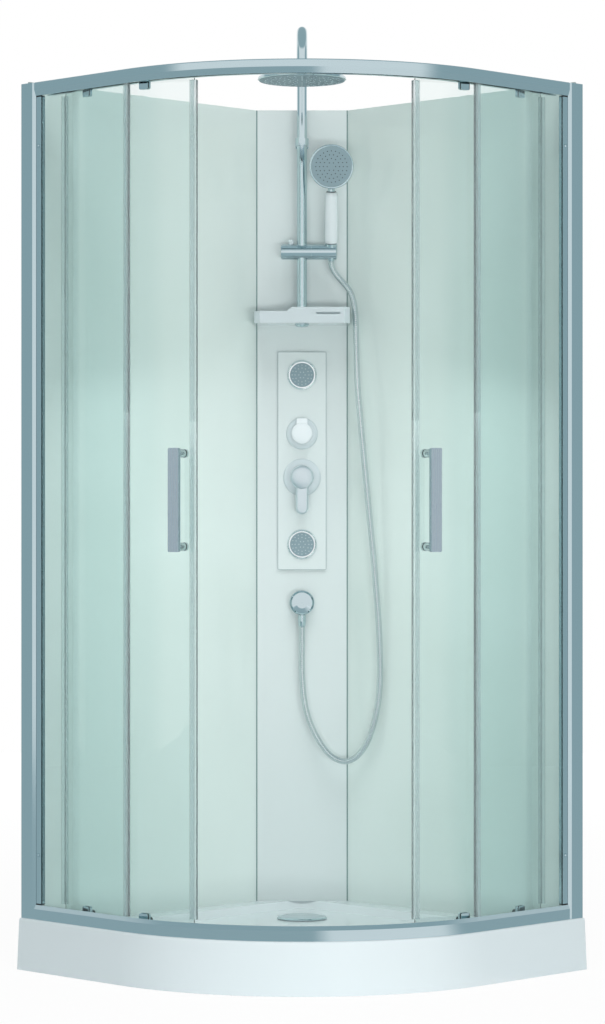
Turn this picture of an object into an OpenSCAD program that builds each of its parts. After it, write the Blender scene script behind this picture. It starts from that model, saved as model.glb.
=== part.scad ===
// Quarter-round hydromassage shower cabin with two curved sliding doors.
// Origin: middle of the footprint on the floor. +Z is up and the doors face -Y, so the room
// corner is at the far end of +Y. Right and left are as seen from in front of the doors.

/* [Tray] */
// Length of each straight side along the room walls
tray_side = 900; // [850:10:1080]
// Radius of the rounded front
front_r = 550; // [480:5:620]
// Height of the front rim that carries the bottom rail
tray_h = 116; // [100:1:150]
// Height of the deck on which the wall panels stand
deck_z = 92; // [86:1:98]
// Depth of the basin below the deck
basin_depth = 16; // [10:1:18]
// Thickness of the acrylic shell
tray_t = 5; // [4:0.5:6]
// Depth of the flange that is turned down along the room walls
wall_flange = 30; // [20:1:35]
// How much further out the skirt stands at the floor than at the rim
skirt_flare = 6; // [2:1:10]
// Gap between the skirt and the floor
skirt_gap = 1.5; // [1:0.5:8]
// Distance of the drain from the room corner, along the diagonal
drain_t = 329; // [300:1:360]
// Diameter of the waste hole
waste_d = 90; // [80:1:92]
// Diameter of the drain cover
cover_d = 117; // [112:1:124]
// Side of the square tubes of the support frame
beam = 25; // [20:1:30]

/* [Enclosure] */
// Height of the frame from the tray rim to the top of the top rail
frame_h = 1863; // [1550:1:2240]
// Distance from the foot of the skirt in to the face of the rails
rail_inset = 12.5; // [10:0.5:20]
// Depth of both rails from the outer face to the inner face
rail_depth = 53.5; // [52:0.5:60]
// Height of the top rail
top_rail_h = 29.5; // [28:0.5:36]
// Height of the bottom rail
bottom_rail_h = 32; // [28:0.5:40]
// Wall thickness of the rail extrusions
rail_wall = 2; // [1.5:0.1:2.5]
// Width of each upright along the fixed glass
upright_w = 44; // [38:0.5:50]
// Bevel between the outer face of each upright and the rails
upright_bevel = 6.5; // [3:0.5:8]
// Depth of each upright, square to the fixed glass
upright_d = 26; // [25:0.5:32]
// Visible width of the profile that holds the fixed glass
glass_profile_w = 16; // [12:0.5:22]
// Thickness of the safety glass
glass_t = 5; // [4:0.5:6]
// Distance from the rail face in to the fixed glass
glass_setback = 8; // [7:0.5:9]
// Free distance between the fixed glass and the door glass
door_gap = 12; // [12:0.5:14]
// Distance of the free edge of the fixed glass from the start of the bend
fixed_edge = 8; // [4:0.5:12]

/* [Doors] */
// Angle that a door turns between closed and the open stop
door_turn = 20.15; // [18:0.05:22]
// Distance that the middle of a door moves along the straight track
door_slide = 72.4; // [60:0.1:80]
// Distance between the two rollers of a door
roller_pitch = 178.5; // [150:0.5:200]
// Reach of the closed door behind the fixed glass, past the start of the bend
door_overlap = 18; // [14:0.5:24]
// Angle by which the left door stands open
left_open = 19.4; // [0:0.1:21]
// Angle by which the right door stands open
right_open = 20.5; // [0:0.1:21]
// Width of the magnetic strip at the leading edge
magnet_w = 15; // [12:0.5:18]
// Diameter of the door wheels
wheel_d = 20; // [18:0.5:20]
// Width of the door wheels
wheel_w = 5; // [4:0.5:5.5]
// Diameter of the wheel axles
axle_d = 5; // [4:0.5:6]
// Length of the handle bars
handle_l = 222; // [220:1:260]
// Distance between the two posts of a handle
handle_pitch = 200; // [160:1:200]
// Free distance between a handle bar and the glass
handle_reach = 37; // [30:1:50]
// Height of the middle of the handles above the floor
handle_z = 1048; // [900:1:1200]

/* [Walls and column] */
// Height by which the wall panels and the column stand above the frame
panel_rise = 6; // [0:1:40]
// Gap between a wall panel and the room wall
panel_gap = 3; // [2:0.5:4]
// Distance of the column face from the room corner, along the diagonal
face_t = 122; // [115:1:135]
// Thickness of the column sheet
column_t = 2.5; // [2:0.5:3]
// Width of the control plate
plate_w = 117; // [110:1:120]
// Height of the top edge of the control plate
plate_top = 1407; // [1400:1:1420]
// Height of the bottom edge of the control plate
plate_bottom = 885; // [870:1:890]
// Thickness of the control plate
plate_t = 6; // [4:0.5:8]

/* [Controls] */
// Height of the upper body jet
upper_jet_z = 1351; // [1345:1:1356]
// Height of the lower body jet
lower_jet_z = 946; // [930:1:950]
// Radius of the ball of a body jet
jet_r = 29.5; // [27:0.1:36]
// Height of the diverter
diverter_z = 1211; // [1205:1:1220]
// Diameter of the diverter knob
diverter_d = 50; // [46:1:56]
// Reach of the knob's pointer above its axis
diverter_tab = 36; // [32:0.5:38]
// Width of the pointer
diverter_tab_w = 26; // [16:1:30]
// Height of the mixer
mixer_z = 1106; // [1100:1:1115]
// Diameter of the mixer cap
mixer_d = 56; // [52:1:60]
// Distance from the mixer axis down to the end of its lever
lever_l = 88; // [75:1:95]
// Height of the hose outlet
outlet_z = 807; // [800:1:815]

/* [Shower column] */
// Diameter of the riser tube
riser_d = 24; // [20:0.1:29]
// Distance of the riser axis from the column face
riser_out = 45; // [42:1:50]
// Height of the axis of the overhead arm
arm_z = 2118; // [2080:1:2300]
// Reach of the overhead arm from the riser axis
arm_reach = 375; // [300:5:400]
// Radius of the bends of the arm
bend_r = 60; // [50:1:80]
// Diameter of the overhead shower
overhead_d = 200; // [180:1:240]
// Height of the underside of the overhead shower
overhead_z = 1997; // [1995:1:2000]
// Distance of the riser's wall bracket below the top of the column
bracket_drop = 82; // [40:1:110]
// Height of the slider
slider_z = 1642; // [1640:1:1700]
// Diameter of the slider barrel
slider_d = 37; // [34:0.5:40]
// Lean of the hand shower towards the doors
handset_lean = 12; // [8:0.5:14]
// Diameter of the spray head of the hand shower
handset_d = 105; // [95:1:115]
// Outer diameter of the shower hose
hose_d = 14; // [12:0.5:14]
// Height of the underside of the shelf
shelf_z = 1470; // [1465:1:1475]
// Width of the shelf
shelf_w = 226; // [222:1:226]
// Depth of the shelf
shelf_d = 108; // [95:1:115]

/* [Fits] */
// Radial clearance of a turning fit
run_fit = 0.05; // [0.03:0.01:0.09]
// Clearance of pieces that seat on each other
seat = 0.3; // [0.2:0.05:0.4]

/* [Hidden] */
$fn = 72;
root2 = sqrt(2);
straight = tray_side - front_r;
depth = straight * root2 + front_r;
corner_y = depth / 2;
centre_y = corner_y - straight * root2;

// Distances from the arc centre, counted outwards across the front
rail_r = front_r - rail_inset;
rail_in = rail_r - rail_depth;
fixed_out = rail_r - glass_setback;
fixed_in = fixed_out - glass_t;
door_out = fixed_in - door_gap;
door_in = door_out - glass_t;
track_r = door_in - 7.5;

// Heights
frame_top = tray_h + frame_h;
top_rail_z = frame_top - top_rail_h;
basin_z = deck_z - basin_depth;
rib_h = 5.5;
rim_in = rail_in - 6;
fixed_bottom = tray_h + rail_wall + 1;
fixed_top = frame_top - rail_wall - 1;
ledge_z = top_rail_z + 3.8;
wheel_z = ledge_z + rail_wall + seat + wheel_d / 2;
door_bottom = tray_h + 21;
door_top = ledge_z - 0.8;
hang_z = wheel_z - 23;
guide_z = tray_h + 30;
panel_top = frame_top + panel_rise;
bracket_z = panel_top - bracket_drop;

// The door turns about one upright line that carries it from the bend onto the straight track
roller_half = asin(roller_pitch / 2 / track_r);
door_rise = track_r * (1 - cos(roller_half));
pole_a = door_slide / 2 + door_rise / 2 / tan(door_turn / 2);
pole_n = door_rise / 2 - door_slide / 2 / tan(door_turn / 2);
tail_angle = -asin(door_overlap / door_out);
lead_angle = 45;
post_angle = lead_angle - 3.7;
meet_gap = 0.4;

// Uprights, counted along the straight from the start of the bend
upright_a = straight - upright_w;
profile_a = upright_a - glass_profile_w;
profile_out = fixed_out + 1.5;
profile_in = fixed_in - 8;
profile_tail = 15;
panel_in = panel_gap + glass_t;
panel_end = straight + rail_r - upright_d + 9;
stop_a = 281;

// Column, counted from the room corner along the diagonal
face_half = face_t - panel_in * root2;
trim_w = 3.7;
column_half = face_half - trim_w;
flange = 28;
face_y = corner_y - face_t;
plate_y = face_y - plate_t;
riser_y = face_y - riser_out;
head_y = riser_y - arm_reach;
drain_y = corner_y - drain_t;

jet_bore = jet_r + seat;
jet_zs = [lower_jet_z, upper_jet_z];
outlet_out = 30;
outlet_r = 29.5;
shelf_rise = 9.5;
shelf_corner = 13;
riser_foot_z = shelf_z - 3;
holder_x = 69.5;
barrel_left = -50;
barrel_split = 22;
button_x = -26;
barrel_right = 81;
cone_d = 21;
socket_top = slider_d / 2 + 1;
hose_end_z = 750;
handle_bar_w = 25;
handle_bar_t = 10.5;
post_d = 19;

// Route of the shower hose from the hand shower to the wall outlet: across, from the corner, up
hose_route = [
    [69.5, 163, 1621], [70, 161, 1612], [74, 160, 1601], [82, 161, 1588], [93, 163, 1575],
    [105, 167, 1561], [115, 171, 1546], [121, 175, 1529], [125, 179, 1510], [127, 183, 1488],
    [128, 187, 1462], [129, 191, 1425], [130, 196, 1380], [132, 200, 1320], [139, 204, 1235],
    [148, 207, 1140], [155, 209, 1066], [162, 210, 992], [169, 212, 920], [175, 213, 847],
    [181, 214, 769], [184, 214, 700], [185, 212, 628], [178, 208, 557], [159, 201, 487],
    [134, 193, 447], [109, 186, 432], [86, 180, 434], [62, 173, 450], [38, 165, 483],
    [17, 158, 528], [5, 154, 578], [0, 152, 641], [0, 152, 700], [0, 152, 750]];

// Frames

// Room corner: X runs along the left wall and Y along the right wall
module corner_frame() { translate([0, corner_y, 0]) rotate([0, 0, -135]) children(); }

// Front half on one side, about the arc centre: X runs along the straight towards the wall and
// -Y points out of the cabin
module side_frame(right) {
    if (right) translate([0, centre_y, 0]) rotate([0, 0, 45]) children();
    else mirror([1, 0, 0]) translate([0, centre_y, 0]) rotate([0, 0, 45]) children();
}

// A door in its side frame, turned open by an angle about its upright line
module hung_door(right) {
    side_frame(right) translate([pole_a, -pole_n, 0]) rotate([0, 0, right ? right_open : left_open])
        translate([-pole_a, pole_n, 0]) children();
}

// A place on the closed door: -Y points out through the glass, psi is counted from the bend
module on_door(psi, z) { rotate([0, 0, -psi]) translate([0, 0, z]) children(); }

// A place on the column face: Z points into the cabin and Y points up
module on_face(z) { translate([0, face_y, z]) rotate([90, 0, 0]) children(); }

// Shapes

// Points of a rectangle with round corners about the origin
function round_rect(w, h, r, n = 5) = [for (q = [0:3], k = [0:n])
    let (a = 90 * q + 90 * k / n, sx = (q == 0 || q == 3) ? 1 : -1, sy = q < 2 ? 1 : -1)
    [sx * (w / 2 - r) + r * cos(a), sy * (h / 2 - r) + r * sin(a)]];

// A section of radius and height carried round the bend and along both straights
module bent(section, end_a) {
    translate([0, centre_y, 0]) rotate([0, 0, 225]) rotate_extrude(angle = 90) polygon(section);
    for (right = [true, false]) side_frame(right)
        translate([end_a, 0, 0]) rotate([90, 0, -90]) linear_extrude(end_a) polygon(section);
}

// A curved band of the closed door between two angles and two radii
module band(r1, r2, psi1, psi2, z, h) {
    rotate([0, 0, 270 - psi2]) rotate_extrude(angle = psi2 - psi1)
        translate([r1, z]) square([r2 - r1, h]);
}

// A block in a side frame, from the straight coordinate a and the outward distance n
module block(a1, a2, n1, n2, z1, z2) {
    translate([a1, -n2, z1]) cube([a2 - a1, n2 - n1, z2 - z1]);
}

// A straight round rod between two points
module rod(p, q, d) {
    v = q - p;
    translate(p) rotate([0, acos(v[2] / norm(v)), atan2(v[1], v[0])]) cylinder(h = norm(v), d = d);
}

// Outline of the tray seen from above, from the corner, with the front and the wall sides inset
function tray_outline(front, wall, n = 24) = concat(
    [[wall, wall], [tray_side - front, wall]],
    [for (k = [0:n]) let (a = 90 * k / n)
        [straight + (front_r - front) * cos(a), straight + (front_r - front) * sin(a)]],
    [[wall, tray_side - front]]);

module basin_outline(grow) {
    offset(r = 50 + grow, $fn = 32) offset(delta = -50) polygon(tray_outline(front_r - rail_in + 24, 62));
}

// The basin as a tapered solid, grown sideways and deepened for the underside of its shell
module basin(grow, drop) {
    hull() {
        translate([0, 0, basin_z - drop]) linear_extrude(0.01) basin_outline(grow - 24);
        translate([0, 0, deck_z - drop]) linear_extrude(drop > 0 ? 0.01 : 1) basin_outline(grow);
    }
}

// Tray and waste

module shower_tray() {
    rim = rim_in;
    section = [[front_r, skirt_gap], [front_r - skirt_flare, tray_h - 5],
        [front_r - skirt_flare - 0.7, tray_h - 2.4], [front_r - skirt_flare - 2.2, tray_h - 0.8],
        [front_r - skirt_flare - 4.5, tray_h], [rim, tray_h], [rim - 14, deck_z],
        [rim - 14, deck_z - tray_t], [rim - 14 + tray_t * 0.7, deck_z - tray_t],
        [rim + tray_t * 0.6, tray_h - tray_t], [front_r - skirt_flare - tray_t, tray_h - tray_t],
        [front_r - tray_t, skirt_gap]];
    color("whitesmoke") difference() {
        union() {
            bent(section, straight - seat);
            corner_frame() {
                translate([0, 0, deck_z - tray_t]) linear_extrude(tray_t)
                    polygon(tray_outline(front_r - rim + 9, 0, 48));
                basin(tray_t, tray_t);
                for (swap = [0, 1]) rotate([0, 0, 45]) mirror([0, swap, 0]) rotate([0, 0, -45])
                    translate([0, 0, deck_z - wall_flange]) cube([tray_side - 30, tray_t, wall_flange]);
            }
        }
        corner_frame() basin(0, 0);
        translate([0, drain_y, 0]) cylinder(h = deck_z, d = waste_d);
    }
}

beam_top = basin_z - tray_t;
side_x = 150;
side_y = [-400, 330];
cross_y = [-200, 80];
function cross_half(y) = min(440, corner_y - y - 30);
foot_places = [for (s = [-1, 1]) each [[s * side_x, 305], [s * side_x, -375], [s * 400, -200]]];
foot_d = 50;
foot_h = 9;
rod_d = 12;

module square_tube(l) {
    rotate([90, 0, 90]) linear_extrude(l) difference() {
        square(beam, center = true);
        square(beam - 4, center = true);
    }
}

module tray_frame() {
    color("dimgray") difference() {
        union() {
            for (y = cross_y) translate([-cross_half(y), y, beam_top - beam / 2])
                square_tube(2 * cross_half(y));
            for (s = [-1, 1]) translate([s * side_x, side_y[0], beam_top - 1.5 * beam])
                rotate([0, 0, 90]) square_tube(side_y[1] - side_y[0]);
        }
        for (p = foot_places) translate([p[0], p[1], 0])
            cylinder(h = beam_top - 2, d = rod_d + 2 * run_fit);
    }
}

module adjustable_feet() {
    color("darkgray") for (p = foot_places) translate([p[0], p[1], 0]) {
        cylinder(h = foot_h - 3, d = foot_d);
        cylinder(h = foot_h, d = foot_d * 0.6);
        top = abs(p[0]) > side_x ? beam_top - 6 : beam_top - beam - 6;
        cylinder(h = top, d = rod_d);
        translate([0, 0, top - beam - 4]) cylinder(h = 8 - seat, d = 22, $fn = 6);
    }
}

flange_t = 2;
trap_r = 54;
collar_r = waste_d / 2 - 0.5;
spigot_r = 20;
spigot_z = 34;
spigot_l = 60;
collar_l = 8;

module drain_trap() {
    color("silver") translate([0, drain_y, 0]) difference() {
        union() {
            translate([0, 0, 12]) cylinder(h = beam_top - 12 - seat, r = trap_r);
            translate([0, 0, 30]) cylinder(h = basin_z - 30, r = collar_r);
            translate([0, 0, basin_z]) cylinder(h = flange_t, r = cover_d / 2 - 3);
            translate([0, 0, spigot_z]) rotate([-90, 0, 0]) {
                cylinder(h = trap_r + spigot_l, r = spigot_r);
                cylinder(h = trap_r + collar_l, r = spigot_r + 5);
            }
        }
        translate([0, 0, 15]) cylinder(h = beam_top - 12 - 8, r = trap_r - 3);
        translate([0, 0, beam_top - 10]) cylinder(h = basin_z, r = collar_r - 3);
        translate([0, 0, spigot_z]) rotate([-90, 0, 0])
            cylinder(h = trap_r + spigot_l + 1, r = spigot_r - 3);
    }
}

module drain_cover() {
    rest = basin_z + flange_t;
    r = cover_d / 2;
    color("gainsboro") translate([0, drain_y, rest]) {
        rotate_extrude() polygon([[0, 4], [r - 16, 3.2], [r - 5, 1.2], [r - 5, 0], [r, 0], [r, 1.2],
            [r - 3, 3.4], [r - 16, 5.6], [0, 6.6]]);
        rotate_extrude() translate([26, -10]) square([3, 14]);
    }
}

// Walls and column

module wall_panel(right) {
    start = face_half * root2 - 40;
    notch = straight + rim_in - 16;
    corner_frame() rotate([0, 0, 45]) mirror([0, right ? 1 : 0, 0]) rotate([0, 0, -45])
        translate([0, panel_gap + glass_t, 0]) rotate([90, 0, 0]) linear_extrude(glass_t) polygon([
            [start, deck_z], [notch, deck_z], [notch, tray_h + seat], [panel_end, tray_h + seat],
            [panel_end, panel_top], [start, panel_top]]);
}

module left_wall_panel() { color("honeydew") wall_panel(false); }
module right_wall_panel() { color("honeydew") wall_panel(true); }

module column_panel() {
    f = flange;
    c = column_t / root2;
    inner = column_half - (root2 - 1) * column_t;
    window_w = plate_w - 20;
    color("whitesmoke") difference() {
        translate([0, corner_y, deck_z]) linear_extrude(panel_top - deck_z) polygon([
            [-column_half, -face_t], [column_half, -face_t], [column_half - f, f - face_t],
            [column_half - f - c, f - face_t - c], [inner - column_t, column_t - face_t],
            [column_t - inner, column_t - face_t], [f + c - column_half, f - face_t - c],
            [f - column_half, f - face_t]]);
        translate([-window_w / 2, face_y - 5, plate_bottom + 15])
            cube([window_w, 20, plate_top - plate_bottom - 30]);
        for (z = [outlet_z, shelf_z + 16]) translate([0, face_y - 5, z]) rotate([-90, 0, 0])
            cylinder(h = 20, d = 24);
    }
}

module column_trims() {
    inset = 0.4;
    w = trim_w - 1 - inset;
    color("slategray") for (s = [-1, 1]) translate([0, corner_y, deck_z])
        linear_extrude(panel_top - deck_z) polygon([
            [s * (column_half + inset), -face_t + 1], [s * (column_half + w), -face_t + 1],
            [s * (column_half + w - 14), 15 - face_t], [s * (column_half + inset - 14), 15 - face_t]]);
}

// Frame of the enclosure

module upright(right) {
    side_frame(right) translate([0, 0, tray_h]) linear_extrude(frame_h) difference() {
        polygon([[upright_a, upright_bevel - rail_r], [upright_a + upright_bevel, -rail_r],
            [straight, -rail_r], [straight, upright_d - rail_r], [upright_a, upright_d - rail_r]]);
        translate([upright_a - 1, -profile_out - seat])
            square([profile_tail + 6, profile_out - profile_in + 2 * seat]);
        translate([upright_a + 24, -rail_r + 2]) square([upright_w - 24 - panel_in - 2, upright_d - 4]);
        translate([straight - panel_in - seat, -panel_end + straight - seat])
            square([glass_t + 2 * seat, 20]);
    }
}

module left_upright() { color("lightslategray") upright(false); }
module right_upright() { color("lightslategray") upright(true); }

module glass_profiles() {
    z1 = tray_h + bottom_rail_h + 3;
    z2 = top_rail_z - 3;
    color("lightslategray") for (right = [true, false]) side_frame(right)
        translate([0, 0, z1]) linear_extrude(z2 - z1) difference() {
            translate([profile_a, -profile_out])
                square([glass_profile_w + profile_tail, profile_out - profile_in]);
            translate([profile_a - 1, -fixed_out - seat]) square([15, glass_t + 2 * seat]);
            translate([profile_a + 17, -profile_out + 1.6])
                square([glass_profile_w + profile_tail - 19, profile_out - profile_in - 3.2]);
        }
}

module rail_end_blocks() {
    z1 = tray_h + bottom_rail_h;
    color("black") for (right = [true, false]) side_frame(right) {
        for (z = [z1, top_rail_z - 3]) difference() {
            block(profile_a, upright_a, profile_in + 1, profile_out - 1, z, z + 3);
            block(profile_a - 1, profile_a + 14, fixed_in - seat, fixed_out + seat, z - 1, z + 4);
        }
        block(stop_a, stop_a + 10, 500, fixed_in - 3, tray_h + 2.5, tray_h + 26);
        block(stop_a, stop_a + 10, 500, fixed_in - 3, top_rail_z + 8, frame_top - 2.5);
    }
}

module profile_screws() {
    color("gray") for (right = [true, false], z = [259, 1838]) side_frame(right)
        translate([profile_a + 9, -profile_out, z]) rotate([90, 0, 0])
            rotate_extrude() polygon([[0, 0], [4, 0], [4, 1.2], [2.6, 2.6], [0, 2.8]]);
}

module top_rail() {
    r = rail_r;
    h = top_rail_h;
    w = rail_wall;
    section = [[r - 5, 0], [r, 13], [r, h - 2], [r - 2, h], [rail_in, h], [rail_in, 3.8],
        [rail_in + 11, 3.8], [rail_in + 11, 3.8 + w], [rail_in + 1.5, 3.8 + w], [rail_in + 1.5, h - w],
        [fixed_in - 2, h - w], [fixed_in - 2, h - w - rib_h], [fixed_in - 0.5, h - w - rib_h],
        [fixed_in - 0.5, h - w], [fixed_out + 0.5, h - w], [fixed_out + 0.5, h - w - rib_h],
        [fixed_out + 2, h - w - rib_h], [fixed_out + 2, h - w], [r - w, h - w], [r - w, 13.4],
        [r - 5 - w, 0]];
    color("lightsteelblue") translate([0, 0, top_rail_z]) bent(section, upright_a - 0.2);
}

module bottom_rail() {
    r = rail_r;
    h = bottom_rail_h;
    w = rail_wall;
    section = [[rail_in, 0], [r, 0], [r, h - 9], [r - 4.5, h], [r - 4.5 - w, h], [r - w, h - 9.5],
        [r - w, w], [fixed_out + 2, w], [fixed_out + 2, w + rib_h], [fixed_out + 0.5, w + rib_h],
        [fixed_out + 0.5, w], [fixed_in - 0.5, w], [fixed_in - 0.5, w + rib_h], [fixed_in - 2, w + rib_h],
        [fixed_in - 2, w], [rail_in + 1.5, w], [rail_in + 1.5, 20], [rail_in, 20]];
    color("lightsteelblue") translate([0, 0, tray_h]) bent(section, upright_a - 0.2);
}

module fixed_glass(right) {
    side_frame(right) block(fixed_edge, profile_a + 13, fixed_in, fixed_out, fixed_bottom, fixed_top);
}

module left_fixed_glass() { color("paleturquoise", 0.4) fixed_glass(false); }
module right_fixed_glass() { color("paleturquoise", 0.4) fixed_glass(true); }

module fixed_glass_strips() {
    z1 = tray_h + bottom_rail_h;
    color("lightgray") for (right = [true, false]) side_frame(right)
        translate([0, 0, z1]) linear_extrude(top_rail_z - z1) difference() {
            translate([fixed_edge - 6, -fixed_out - 1.6]) square([14, glass_t + 3.2]);
            translate([fixed_edge - 0.2, -fixed_out - 0.2]) square([20, glass_t + 0.4]);
        }
}

// Doors

roller_angles = [for (s = [-1, 1]) lead_angle - (45 - door_turn) + s * roller_half];
glass_lead = lead_angle - 6 / door_out * 180 / PI;

module through_glass(d) {
    translate([0, -door_in + 5, 0]) rotate([90, 0, 0]) cylinder(h = glass_t + 10, d = d);
}

module door_glass(right) {
    hung_door(right) difference() {
        band(door_in, door_out, tail_angle, glass_lead, door_bottom, door_top - door_bottom);
        for (psi = roller_angles, z = [guide_z, hang_z]) on_door(psi, z) through_glass(8);
        for (s = [-1, 1]) on_door(post_angle, handle_z + s * handle_pitch / 2) through_glass(9);
    }
}

module left_door_glass() { color("paleturquoise", 0.4) door_glass(false); }
module right_door_glass() { color("paleturquoise", 0.4) door_glass(true); }

module door_strips(right) {
    deg = 180 / PI / door_out;
    z1 = tray_h + bottom_rail_h + 2;
    z2 = top_rail_z - 2;
    lead_end = lead_angle - meet_gap * deg;
    hung_door(right) {
        difference() {
            band(door_in - 3, door_out + 3, lead_end - magnet_w * deg, lead_end, z1, z2 - z1);
            band(door_in - 0.1, door_out + 0.1, lead_end - 20 * deg, glass_lead + 0.2 * deg,
                z1 - 1, z2 - z1 + 2);
        }
        difference() {
            union() {
                band(door_in - 2, door_out + 2, tail_angle - 3 * deg, tail_angle + 9 * deg, z1, z2 - z1);
                band(door_out, door_out + 8.5, tail_angle - 3 * deg, tail_angle - 1.4 * deg, z1, z2 - z1);
            }
            band(door_in - 0.1, door_out + 0.1, tail_angle - 0.2 * deg, tail_angle + 12 * deg,
                z1 - 1, z2 - z1 + 2);
        }
    }
}

module left_door_strips() { color("darkgray") door_strips(false); }
module right_door_strips() { color("darkgray") door_strips(true); }

module handle(right) {
    bar_y = -door_out - handle_reach;
    hung_door(right) on_door(post_angle, handle_z) {
        translate([0, bar_y, 0]) rotate([90, 0, 0]) linear_extrude(handle_bar_t)
            polygon(round_rect(handle_bar_w, handle_l, 3));
        for (s = [-1, 1]) translate([0, 0, s * handle_pitch / 2]) {
            translate([0, -door_out - seat, 0]) rotate([90, 0, 0])
                cylinder(h = handle_reach + 1, d = post_d);
            translate([0, -door_in + 2 + seat, 0]) rotate([90, 0, 0])
                cylinder(h = glass_t + 4 + seat, d = 6);
            translate([0, -door_in + 9, 0]) rotate([90, 0, 0]) cylinder(h = 9 - seat, d = post_d);
        }
    }
}

module left_handle() { color("lightslategray") handle(false); }
module right_handle() { color("lightslategray") handle(true); }

block_w = 23;
block_h = 39;
block_in = door_in - 6.3;
wheel_out = block_in - 4.7;
wheel_in = wheel_out - wheel_w;

module roller_blocks(right) {
    hung_door(right) for (psi = roller_angles) {
        on_door(psi, wheel_z) {
            translate([0, -block_in, 8 - block_h / 2]) rotate([90, 0, 0]) linear_extrude(6)
                polygon(round_rect(block_w, block_h, 4));
            translate([0, -wheel_in + 1.2, 0]) rotate([90, 0, 0])
                cylinder(h = block_in - wheel_in, d = axle_d);
            translate([0, -wheel_out - 0.2, 0]) rotate([90, 0, 0])
                cylinder(h = block_in - wheel_out, d = 9);
            translate([0, -block_in - 3, hang_z - wheel_z]) rotate([90, 0, 0])
                cylinder(h = glass_t + 4.2, d = 6);
            translate([0, -door_out - 0.2, hang_z - wheel_z]) rotate([90, 0, 0]) linear_extrude(2)
                polygon(round_rect(block_w, 17, 4));
        }
        on_door(psi, guide_z) {
            translate([0, -block_in, 0]) rotate([90, 0, 0]) linear_extrude(6)
                polygon(round_rect(block_w, 22, 4));
            translate([0, -block_in - 3, 0]) rotate([90, 0, 0]) cylinder(h = glass_t + 4.2, d = 6);
            translate([0, -door_out - 0.2, 0]) rotate([90, 0, 0]) linear_extrude(2)
                polygon(round_rect(block_w, 20, 4));
        }
    }
}

module left_roller_blocks() { color("silver") roller_blocks(false); }
module right_roller_blocks() { color("silver") roller_blocks(true); }

module guide_shoes(right) {
    hung_door(right) for (psi = roller_angles) on_door(psi, guide_z - 8)
        translate([0, -block_in + 7, 0]) rotate([90, 0, 0]) linear_extrude(7 - seat)
            polygon(round_rect(block_w + 2, 20, 6));
}

module left_guide_shoes() { color("black") guide_shoes(false); }
module right_guide_shoes() { color("black") guide_shoes(true); }

module wheel(right, psi) {
    r = wheel_d / 2;
    hung_door(right) on_door(psi, wheel_z) translate([0, -wheel_in, 0]) rotate([90, 0, 0])
        difference() {
            rotate_extrude() polygon([[0, 0], [r - 1, 0], [r, 1], [r, wheel_w - 1],
                [r - 1, wheel_w], [0, wheel_w]]);
            translate([0, 0, -1]) cylinder(h = wheel_w + 2, d = axle_d + 2 * run_fit);
        }
}

module left_front_wheel() { color("black") wheel(false, roller_angles[1]); }
module left_rear_wheel() { color("black") wheel(false, roller_angles[0]); }
module right_front_wheel() { color("black") wheel(true, roller_angles[1]); }
module right_rear_wheel() { color("black") wheel(true, roller_angles[0]); }

// Controls on the column

jet_ring_r = jet_r + 7;
jet_hole_r = jet_r + 4.5;
shaft_d = 8;
stem_r = 16;

module control_plate() {
    color("whitesmoke") difference() {
        on_face((plate_top + plate_bottom) / 2) linear_extrude(plate_t)
            polygon(round_rect(plate_w, plate_top - plate_bottom, 3));
        for (z = jet_zs) on_face(z) translate([0, 0, -1]) cylinder(h = plate_t + 2, r = jet_hole_r);
        on_face(diverter_z) translate([0, 0, -1]) cylinder(h = plate_t + 2, d = 36);
        on_face(mixer_z) translate([0, 0, -1]) cylinder(h = plate_t + 2, d = 44);
    }
}

// Centre of a jet ball, in front of the column face
ball_out = plate_t - 2;

module jet_rings() {
    color("gainsboro") for (z = jet_zs) on_face(z) difference() {
        union() {
            translate([0, 0, plate_t]) rotate_extrude() polygon([[0, 0], [jet_ring_r, 0], [jet_ring_r, 1.5],
                [jet_ring_r - 2, 4.2], [jet_ring_r - 5, 5.5], [0, 5.5]]);
            translate([0, 0, 1 - jet_r]) cylinder(h = jet_r + plate_t, r = jet_hole_r - seat);
        }
        translate([0, 0, ball_out]) sphere(r = jet_bore);
        translate([0, 0, 4 - jet_r]) cylinder(h = jet_r, r = jet_r - 5);
    }
}

module jet(z) {
    face = 8;
    color("slategray") on_face(z) translate([0, 0, ball_out]) {
        intersection() {
            sphere(r = jet_r);
            translate([0, 0, -12]) cylinder(h = 12 + face, r = jet_r + 1);
        }
        for (ring = [[jet_r - 22, 6], [jet_r - 13, 12], [jet_r - 6, 16]], k = [0:ring[1] - 1])
            rotate([0, 0, 360 * k / ring[1]]) translate([ring[0], 0, face - 1]) cylinder(h = 1.8, d = 2.6);
    }
}

module upper_jet() { jet(upper_jet_z); }
module lower_jet() { jet(lower_jet_z); }

module diverter_base() {
    color("whitesmoke") on_face(diverter_z) translate([0, 0, plate_t]) difference() {
        rotate_extrude() polygon([[0, 0], [38, 0], [38, 2], [35, 5], [30, 7], [0, 8]]);
        translate([0, 0, -1]) cylinder(h = 12, d = shaft_d + 2 * run_fit);
    }
}

// A knob turned from solid: skirt, straight side and domed front of radius r and height h
function dome_profile(r, h, crown, n = 8) = concat([[0, 0], [r - 0.6, 0], [r, 0.6]],
    [for (k = [0:n]) let (a = 90 * k / n) [(r - 3) * cos(a) + 3 * cos(a), h - crown + crown * sin(a)]]);

module diverter_knob() {
    color("white") on_face(diverter_z) translate([0, 0, plate_t]) {
        translate([0, 0, 8.6]) rotate_extrude() polygon(dome_profile(diverter_d / 2, 21, 5));
        translate([0, diverter_tab / 2, 9.2]) linear_extrude(15)
            polygon(round_rect(diverter_tab_w, diverter_tab, 4));
        translate([0, 0, -6]) cylinder(h = 16, d = shaft_d);
    }
}

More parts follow.
